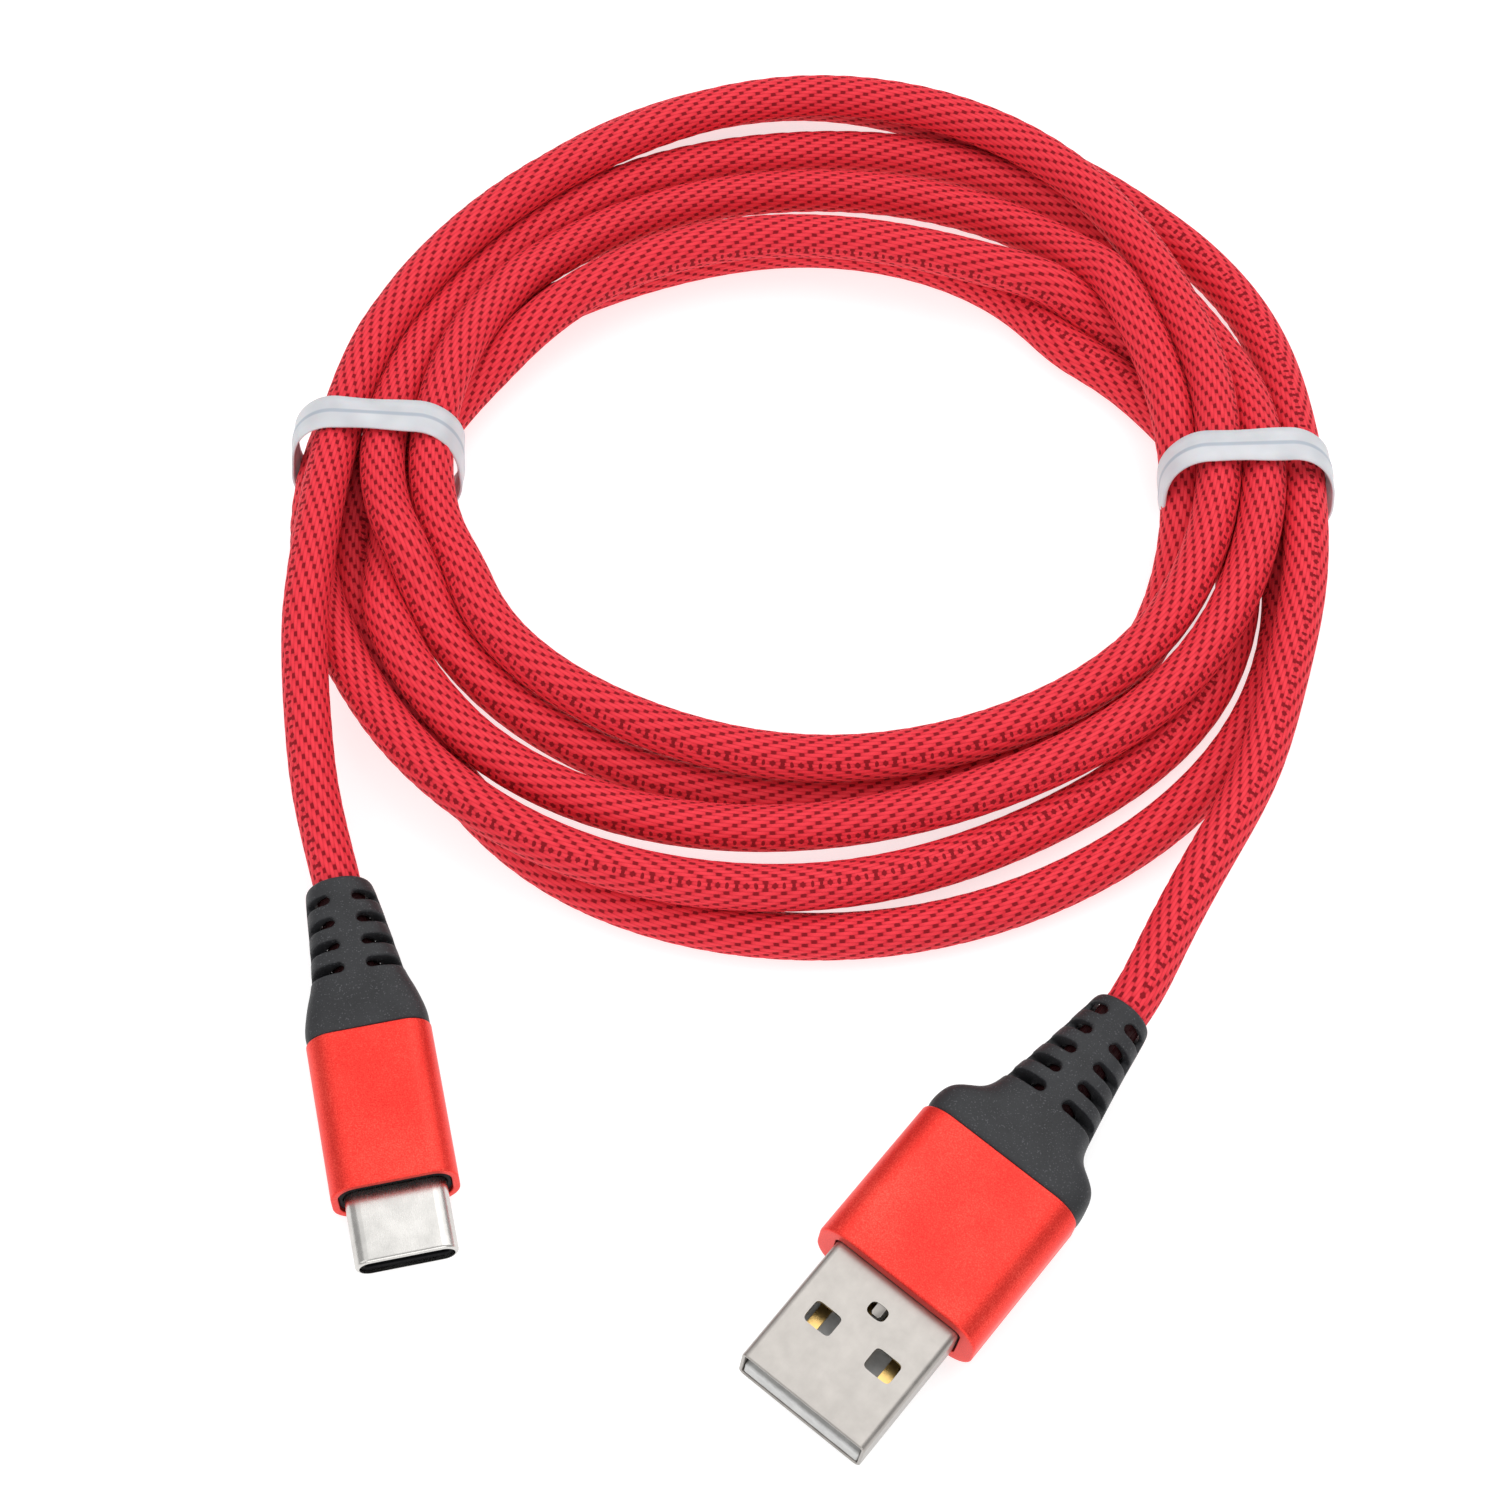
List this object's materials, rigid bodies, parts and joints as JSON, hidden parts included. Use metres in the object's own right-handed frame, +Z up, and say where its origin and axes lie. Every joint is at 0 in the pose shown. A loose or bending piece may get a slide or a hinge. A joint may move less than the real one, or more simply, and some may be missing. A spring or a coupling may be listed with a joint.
{
  "type": "charging cable",
  "caption": "Braided USB-A to USB-C charging cable wound into a round flat coil and held by twist ties, with a slotted strain relief behind each metal plug housing.",
  "frame": {"origin": "on the ground under the middle of the whole object's box", "axes": "+Z up from the ground, +Y from the plugs towards the far side of the coil, +X from the USB-C plug towards the USB-A plug"},
  "size_m": [0.0942, 0.1383, 0.0099],
  "materials": {
    "braid": "red braided yarn sleeve",
    "tie_plastic": "translucent white soft plastic ribbon",
    "tie_wire": "thin annealed steel wire",
    "boot_rubber": "dark grey soft-touch moulded elastomer",
    "anodised_aluminium": "fine bead-blasted red anodised",
    "shell_steel": "satin nickel-plated steel",
    "plain_steel": "plain stamped steel",
    "contact_gold": "gold-plated contact",
    "white_plastic": "pale grey moulded plastic",
    "black_plastic": "black moulded plastic",
    "circuit_board": "green solder mask",
    "wire_red": "red insulation",
    "wire_white": "white insulation",
    "wire_green": "green insulation",
    "wire_black": "black insulation"
  },
  "bodies": {
    "cable": {"coiled_cord": "braid", "usb_a_boot": "boot_rubber", "usb_a_contact_data_minus": "contact_gold", "usb_a_contact_data_plus": "contact_gold", "usb_a_contact_ground": "contact_gold", "usb_a_contact_power": "contact_gold", "usb_a_cord_end": "braid", "usb_a_crimp": "plain_steel", "usb_a_housing": "anodised_aluminium", "usb_a_inner_mold": "white_plastic", "usb_a_lead": "braid", "usb_a_shell": "shell_steel", "usb_a_tongue": "white_plastic", "usb_a_wire_black": "wire_black", "usb_a_wire_green": "wire_green", "usb_a_wire_red": "wire_red", "usb_a_wire_white": "wire_white", "usb_c_boot": "boot_rubber", "usb_c_circuit_board": "circuit_board", "usb_c_collar": "black_plastic", "usb_c_contact_a12_ground": "contact_gold", "usb_c_contact_a1_ground": "contact_gold", "usb_c_contact_a4_power": "contact_gold", "usb_c_contact_a5_configuration": "contact_gold", "usb_c_contact_a6_data_plus": "contact_gold", "usb_c_contact_a7_data_minus": "contact_gold", "usb_c_contact_a9_power": "contact_gold", "usb_c_contact_b12_ground": "contact_gold", "usb_c_contact_b1_ground": "contact_gold", "usb_c_contact_b4_power": "contact_gold", "usb_c_contact_b9_power": "contact_gold", "usb_c_cord_end": "braid", "usb_c_crimp": "plain_steel", "usb_c_housing": "anodised_aluminium", "usb_c_inner_mold": "black_plastic", "usb_c_insulator": "black_plastic", "usb_c_latch": "plain_steel", "usb_c_lead": "braid", "usb_c_pull_up_resistor": "black_plastic", "usb_c_shell": "shell_steel", "usb_c_wire_black": "wire_black", "usb_c_wire_green": "wire_green", "usb_c_wire_red": "wire_red", "usb_c_wire_white": "wire_white"},
    "left_tie": {"left_tie": "tie_plastic", "left_tie_wire": "tie_wire"},
    "right_tie": {"right_tie": "tie_plastic", "right_tie_wire": "tie_wire"}
  },
  "joints": [
    {"name": "left_tie_travel", "type": "hinge", "parent": "cable", "child": "left_tie", "pos_m": [0, 0.022, 0], "axis": [0, 0, 1], "range_deg": [-4, 4]},
    {"name": "right_tie_travel", "type": "hinge", "parent": "cable", "child": "right_tie", "pos_m": [0, 0.022, 0], "axis": [0, 0, 1], "range_deg": [-4, 4]}
  ]
}
